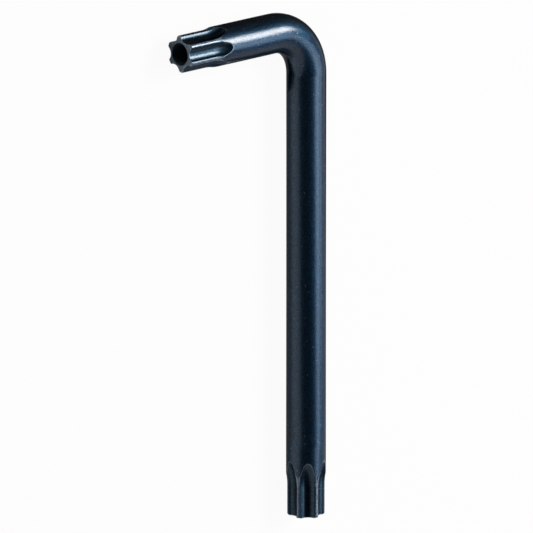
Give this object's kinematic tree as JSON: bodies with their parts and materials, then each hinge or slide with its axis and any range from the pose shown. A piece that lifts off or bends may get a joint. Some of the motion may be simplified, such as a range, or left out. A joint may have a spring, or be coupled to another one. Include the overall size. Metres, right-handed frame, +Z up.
{
  "type": "star-drive key",
  "caption": "L-shaped star-drive key of round blackened steel bar, with a six-lobe tip at each end, drilled for a centre pin.",
  "frame": {"origin": "below the middle of the key's box, on the surface that it lies on", "axes": "+Z up, square to the flat L; the long arm runs along Y with its tip at -Y, and the short arm runs along X with its tip at -X"},
  "size_m": [0.0335, 0.092, 0.007],
  "materials": {
    "blackened_steel": "satin black oxide over hardened steel"
  },
  "bodies": {
    "root": {"star_key": "blackened_steel"}
  },
  "joints": []
}
